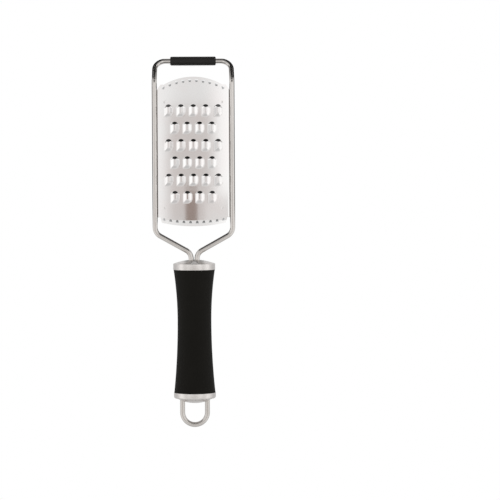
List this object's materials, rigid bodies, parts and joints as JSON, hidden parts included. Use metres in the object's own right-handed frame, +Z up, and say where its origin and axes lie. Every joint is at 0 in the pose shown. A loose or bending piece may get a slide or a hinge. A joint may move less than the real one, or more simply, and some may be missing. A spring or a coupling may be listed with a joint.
{
  "type": "rasp zester",
  "caption": "Handheld rasp zester: crowned steel plate with raised hooded teeth in a bent wire frame with a rubber foot, on a round soft-grip handle with domed caps and a hanging loop.",
  "frame": {"origin": "middle of the length and width, on the surface that the tool lies on", "axes": "+Y along the handle towards the foot bar, +Z up out of the toothed face, +X across the plate to the right seen from above with the foot bar at the far end"},
  "size_m": [0.0696, 0.3134, 0.0354],
  "materials": {
    "plate_steel": "bright rolled stainless sheet with a faint grain along the tool",
    "wire_steel": "polished stainless wire",
    "cap_steel": "satin stainless, turned finish",
    "foot_rubber": "matt black rubber",
    "grip_rubber": "matt black soft-touch elastomer",
    "core_plastic": "moulded, hidden inside the handle"
  },
  "bodies": {
    "root": {"grater_plate": "plate_steel", "frame_wire": "wire_steel", "foot_sleeve": "foot_rubber", "front_cap": "cap_steel", "grip": "grip_rubber", "grip_core": "core_plastic", "rear_cap": "cap_steel", "hanging_loop": "wire_steel"}
  },
  "joints": []
}
